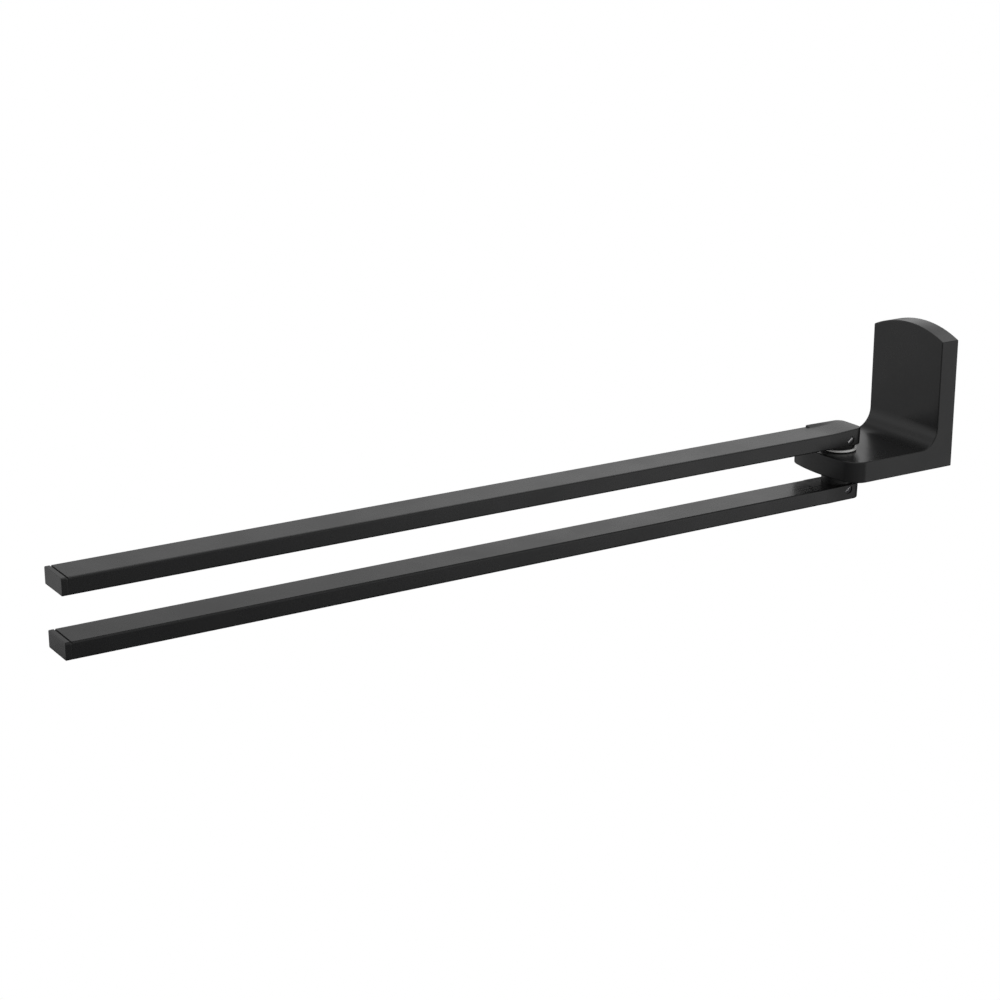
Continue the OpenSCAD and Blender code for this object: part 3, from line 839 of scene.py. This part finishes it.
# %% Hub sizes
bar_low, bar_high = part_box("upper_bar")
half_bar = bar_high.x
joint_y = bar_high.y
bar_h = bar_high.z - bar_low.z
hub_back_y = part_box("upper_hub")[1].y
hub_len = hub_back_y - joint_y
bar_edge_r, hub_edge_r, back_corner_r = 0.7 * MM, 0.6 * MM, 4.5 * MM
hub_drop, lower_rise = 0.1 * MM, 0.1 * MM
lean, lean_len = 0.25 * MM, 12.0 * MM
step_len, step_share = 0.3 * MM, 0.22
back_share, back_rise_share = 0.9, 0.8
print("hubs", round(hub_len / MM, 1), "mm long behind the joint at y =", round(joint_y / MM, 1))


# %% Hub blocks
def smooth(t):
    """The curve 3 t^2 - 2 t^3, which leaves 0 and reaches 1 without a slope."""
    t = np.clip(t, 0, 1)
    return t * t * (3 - 2 * t)


def hub_rise(x, y):
    """Share of the hub's greatest step above the bar at a place in plan. At the joint it is 1 on the
    far side and fades out over step_share of the width. Towards the back it grows smoothly to
    back_rise_share everywhere. All of it starts from zero within step_len behind the joint."""
    across = (x / half_bar + 1) / 2
    step = smooth((y - joint_y) / step_len) * (1 - smooth(across / step_share))
    back = smooth((y - joint_y) / (back_share * hub_len))
    return step + (back_rise_share - step) * back


def half_width(y, inset):
    """Half the width at y of the plan drawn in by inset: straight sides, then corner circles of
    radius back_corner_r less the inset."""
    past = np.maximum(y - (hub_back_y - back_corner_r), 0)
    return half_bar - back_corner_r + np.sqrt(np.maximum((back_corner_r - inset) ** 2 - past**2, 0))


def hub_edge(y, radius):
    """Points (x, depth) of one rounded edge at y, from the side inwards: a quarter circle that stops
    where its inset meets the back."""
    stop = math.asin(1 - min(radius, hub_back_y - y) / radius)
    angle = np.linspace(math.pi / 2, stop, 7)
    return half_width(y, radius * (1 - np.sin(angle))), radius * (1 - np.cos(angle))


def hub_section(y, block_low, bar_top, rise):
    """Closed cross-section (x, z) of the block at y: its top is the bar's top plus the rise times
    hub_rise, less the depth of the rounded edges, and its lower edges move in by the lean."""
    x, depth = hub_edge(y, hub_edge_r)
    inner = np.linspace(x[-1], -x[-1], 26)[1:-1]
    top_x = np.concatenate([x, inner, -x[::-1]])
    top_depth = np.concatenate([depth, np.full(len(inner), depth[-1]), depth[::-1]])
    top = bar_top + rise * hub_rise(top_x, y) - top_depth
    x, depth = hub_edge(y, bar_edge_r)
    x = x - lean * smooth((y - joint_y) / lean_len)
    low_x = np.concatenate([-x, x[::-1]])
    low = block_low + np.concatenate([depth, depth[::-1]])
    return place(np.column_stack([np.concatenate([top_x, low_x]), np.concatenate([top, low])]), "y", y)


def hub_block(name, block_low, bar_top, rise):
    """Hub block from its underside up to a top that follows hub_rise above the bar's top."""
    corner = np.sin(np.radians(np.linspace(0, 90, 13)))
    corner_y = hub_back_y - back_corner_r
    levels = np.concatenate([joint_y + step_len * np.linspace(0, 1, 5),
                             np.linspace(joint_y + OVERRUN, corner_y, 16)[:-1],
                             corner_y + back_corner_r * corner])
    sections = [hub_section(y, block_low, bar_top, rise) for y in levels]
    return mesh_from_grid(name, np.array(sections), close_ends=True)


def box_piece(name, low, high, radius, soft_rim):
    """Solid box along y with rounded long edges and rounded ends: rows of one rounded rectangle,
    drawn in by a quarter circle at each end."""
    ends = [(inset, low[1] + depth) for inset, depth in rim(soft_rim)]
    ends += [(inset, high[1] - depth) for inset, depth in rim(soft_rim, falling=True)]
    rows = []
    for inset, y in ends:
        loop = rounded_outline((low[0] + inset, low[2] + inset), (high[0] - inset, high[2] - inset),
                               max(radius - inset, 0))
        rows.append(place(loop, "y", y))
    return mesh_from_grid(name, np.array(rows), close_ends=True)


# %% [markdown]
# A hub's solids are joined and then bored: the blind hole for the bush leaves a roof over the pin,
# the set screw comes in from the right side, and the bar's screw passes through the spigot.

# %% Hubs
boss_r, boss_edge, boss_soft = 7.9 * MM, 0.07 * MM, 0.25 * MM
bar_wall = 1.4 * MM
bar_screw_r = 1.5 * MM
spigot_len, spigot_setback = 22.0 * MM, 11.0 * MM
spigot_corner_r, spigot_soft = 0.4 * MM, 0.3 * MM
roof_t = 2.0 * MM
bush_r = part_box("upper_bush")[1].x
bore_mouth, set_mouth, bar_screw_mouth = 0.2 * MM, 0.18 * MM, 0.1 * MM

for arm, up in (("upper", 1), ("lower", -1)):
    low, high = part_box(arm + "_bar")
    hub_low, hub_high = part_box(arm + "_hub")
    face = hub_low.z if up > 0 else hub_high.z
    block_low = low.z - hub_drop
    rise = hub_high.z - high.z if up > 0 else lower_rise
    hub = hub_block(arm + "_hub_casting", block_low, high.z, rise)
    inside = block_low + OVERRUN if up > 0 else high.z - OVERRUN
    boss_rows = [(0, face), (boss_r - boss_soft, face), (boss_r - boss_edge, face + up * boss_edge),
                 (boss_r, face + up * boss_soft), (boss_r, inside), (0, inside)]
    boss = turned("boss", boss_rows, (0, hinge_y, 0))
    middle = (low.z + high.z) / 2
    spigot_w = half_bar - bar_wall - PLAY
    spigot_h = bar_h / 2 - bar_wall - PLAY
    spigot = box_piece("spigot", (-spigot_w, joint_y - spigot_len, middle - spigot_h),
                       (spigot_w, joint_y + OVERRUN, middle + spigot_h), spigot_corner_r, spigot_soft)
    combine(hub, [boss, spigot], "UNION")
    bore_end = high.z + rise - roof_t if up > 0 else block_low + roof_t
    bore = hole_cutter("bore", (0, hinge_y, 0), "z", bush_r + PLAY, face, bore_end, bore_mouth,
                       through=False)
    set_hole = hole_cutter("set_hole", (0, hinge_y, screw_level(arm)), "x", set_r + PLAY, half_bar, 0,
                           set_mouth, through=False)
    bar_screw_hole = hole_cutter("bar_screw_hole", (0, joint_y - spigot_setback, 0), "z",
                                 bar_screw_r + PLAY, middle - spigot_h, middle + spigot_h, bar_screw_mouth)
    combine(hub, [bore, set_hole, bar_screw_hole], "DIFFERENCE")
    complete(hub, arm + "_hub", arm + "_arm", "black_casting")

# %% [markdown]
# A bar is a flat tube. Its section, a rounded rectangle, is carried from the hub to the end cap on
# the outside and back again on the inside, so the tube is one closed ring of rows with a real wall
# and a slightly broken edge at the cap's end. A countersunk hole in its underside takes the screw
# that holds it on the hub.


# %% Bars
bar_hold = 0.3 * MM
bore_corner_r = 0.3 * MM
broken = 0.08 * MM
sink_lip = 0.1 * MM
bar_screw_head_r = 2.65 * MM
head_r, shank_r = bar_screw_head_r + PLAY, bar_screw_r + PLAY


def bar_row(y, middle, inset, radius):
    """Section of a bar at y: its outline drawn in by inset, with rounded corners."""
    return place(rounded_outline((-half_bar + inset, middle - bar_h / 2 + inset),
                                 (half_bar - inset, middle + bar_h / 2 - inset), radius, bar_hold), "y", y)


for arm in ("upper", "lower"):
    low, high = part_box(arm + "_bar")
    middle = (low.z + high.z) / 2
    rows = [bar_row(y, middle, 0, bar_edge_r) for y in np.linspace(high.y, low.y + OVERRUN, 21)]
    rows += [bar_row(low.y + depth, middle, inset, bar_edge_r - inset)
             for inset, depth in rim(broken, 4, falling=True)]
    rows += [bar_row(y, middle, bar_wall, bore_corner_r)
             for y in (low.y, low.y + OVERRUN, high.y - OVERRUN, high.y)]
    bar = mesh_from_grid(arm + "_bar_tube", np.array(rows), wrap_rows=True)
    sink_rows = [(0, low.z - OVERRUN), (head_r + sink_lip, low.z - OVERRUN), (head_r + sink_lip, low.z),
                 (head_r, low.z + sink_lip), (shank_r, low.z + sink_lip + head_r - shank_r),
                 (shank_r, middle), (0, middle)]
    combine(bar, [turned("sink", sink_rows, (0, joint_y - spigot_setback, 0))], "DIFFERENCE")
    complete(bar, arm + "_bar", arm + "_arm", "black_bar")

# %% [markdown]
# The end caps are separate castings: a flange that continues the bar's section, with a finely rounded
# outer rim, and a hollow plug that is pushed into the tube. Flange and bar all but touch. Only across
# the top a narrow groove is cut into the flange's back edge, and it shows as a dark line.

# %% End caps
seam = 0.04 * MM
cap_rim, cap_ring = 0.28 * MM, 1.2 * MM
cap_groove_w, cap_groove_depth = 0.8 * MM, 0.6 * MM
groove_lead, groove_fall, groove_tuck = 0.15 * MM, 0.03 * MM, 0.03 * MM
plug_corner_r, plug_taper, plug_soft = 0.4 * MM, 0.4 * MM, 0.3 * MM
hollow_wall, hollow_len, hollow_corner_r = 1.3 * MM, 12.0 * MM, 0.2 * MM


def grooved_row(y, middle, inset):
    """Section of a cap's flange at y with its top lowered by the groove's depth."""
    low_r = bar_edge_r - inset
    loop = rounded_outline((-half_bar + inset, middle - bar_h / 2 + inset),
                           (half_bar - inset, middle + bar_h / 2 - cap_groove_depth),
                           [bore_corner_r, bore_corner_r, low_r, low_r], bar_hold)
    return place(loop, "y", y)


for arm in ("upper", "lower"):
    low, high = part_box(arm + "_end_cap")
    middle = (low.z + high.z) / 2
    flange_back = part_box(arm + "_bar")[0].y - seam
    groove_front = flange_back - cap_groove_w
    plug_inset = bar_wall + PLAY
    hollow_inset = plug_inset + hollow_wall
    centre = np.tile([0, low.y, middle], (len(bar_row(0, middle, 0, bar_edge_r)), 1))
    rows = [centre, bar_row(low.y, middle, cap_rim + cap_ring, bore_corner_r)]
    rows += [bar_row(low.y + depth, middle, inset, bar_edge_r - inset) for inset, depth in rim(cap_rim)]
    rows += [bar_row(groove_front - groove_lead, middle, 0, bar_edge_r),
             bar_row(groove_front, middle, 0, bar_edge_r),
             grooved_row(groove_front + groove_fall, middle, 0),
             grooved_row(flange_back, middle, groove_tuck),
             bar_row(flange_back, middle, plug_inset, plug_corner_r),
             bar_row(high.y - plug_taper, middle, plug_inset, plug_corner_r),
             bar_row(high.y, middle, plug_inset + plug_soft, plug_soft),
             bar_row(high.y, middle, hollow_inset, hollow_corner_r),
             bar_row(high.y - hollow_len, middle, hollow_inset, hollow_corner_r),
             centre + [0, high.y - hollow_len - low.y, 0]]
    cap = mesh_from_grid(arm + "_cap_casting", np.array(rows))
    complete(cap, arm + "_end_cap", arm + "_arm", "black_cap")

# %% [markdown]
# The screws are turned pieces. A set screw has a narrow point that runs in the pin's groove, and a
# straight slot across its head. The slot is cut with a saw after blackening, so its walls are bare
# steel, and it shows as a bright tick in the side of the hub.

# %% Set screws
slot_w, slot_depth, slot_turn = 0.8 * MM, 0.4 * MM, math.radians(36)
saw_reach, saw_soft = 3.0 * MM, 0.05 * MM
screw_chamfer, shoulder_play = 0.2 * MM, 0.2 * MM
point_r, point_chamfer = 1.25 * MM, 0.1 * MM

for arm in ("upper", "lower"):
    low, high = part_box(arm + "_set_screw")
    level = screw_level(arm)
    shoulder = pin_r + shoulder_play
    rows = [(0, high.x), (set_r - screw_chamfer, high.x), (set_r, high.x - screw_chamfer),
            (set_r, shoulder + screw_chamfer), (set_r - screw_chamfer, shoulder), (point_r, shoulder),
            (point_r, low.x + point_chamfer), (point_r - point_chamfer, low.x), (0, low.x)]
    screw = turned(arm + "_set_screw_steel", rows, (0, hinge_y, level), "x")
    saw = box_piece("saw", (high.x - slot_depth, -saw_reach, -slot_w / 2),
                    (high.x + OVERRUN, saw_reach, slot_w / 2), saw_soft, saw_soft)
    saw.data.transform(Matrix.Translation((0, hinge_y, level)) @ Matrix.Rotation(slot_turn, 4, "X"))
    combine(screw, [saw], "DIFFERENCE")
    complete(screw, arm + "_set_screw", arm + "_arm", "screw_steel")

# %% [markdown]
# A socket starts as a drilled hole with a shallow cone at its bottom, and a punch then makes its
# walls six-sided. From the screw's rim inwards that is one list of rows: a chamfered lead-in, the
# six walls, and the drill's cone.


# %% Socket screws
socket_w = 2.0 * MM
socket_rim = 0.3 * MM
lead_share, lead_depth = 1.16, 0.12 * MM
drill_share, drill_depth, cone_depth = 0.8, 0.1 * MM, 0.35 * MM
head_land, tip_chamfer = 0.12 * MM, 0.3 * MM
lock_chamfer, lock_cone_h = 0.3 * MM, 1.2 * MM
bar_socket_depth, lock_socket_depth = 1.0 * MM, 3.0 * MM


def socket_rows(face, rim_r, depth):
    """Rows (radius, level) from the cone's tip at the bottom of a socket up to the screw's rim at
    level face, for a screw that stands above its face, and the numbers of the six-sided rows."""
    flat = socket_w / 2
    rows = [(0, face + depth + cone_depth), (flat * drill_share, face + depth + drill_depth),
            (flat, face + depth), (flat, face + lead_depth), (flat * lead_share, face),
            (rim_r - socket_rim, face)]
    return rows, (2, 3)


for arm in ("upper", "lower"):
    low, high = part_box(arm + "_bar_screw")
    rows, hexagon = socket_rows(low.z, bar_screw_head_r, bar_socket_depth)
    rows += [(bar_screw_head_r, low.z + head_land), (bar_screw_r, low.z + bar_screw_head_r - bar_screw_r),
             (bar_screw_r, high.z - tip_chamfer), (bar_screw_r - tip_chamfer, high.z), (0, high.z)]
    screw = turned(arm + "_bar_screw_steel", rows, (0, joint_y - spigot_setback, 0), hexagon=hexagon)
    complete(screw, arm + "_bar_screw", arm + "_arm", "black_screw")

rows, hexagon = socket_rows(lock_low.z, lock_r, lock_socket_depth)
rows += [(lock_r, lock_low.z + lock_chamfer), (lock_r, lock_high.z - lock_cone_h),
         (lock_r - lock_cone_h, lock_high.z), (0, lock_high.z)]
lock_screw = turned("lock_screw_steel", rows, (0, lock_y, 0), hexagon=hexagon)
complete(lock_screw, "bracket_lock_screw", "root", "black_screw")
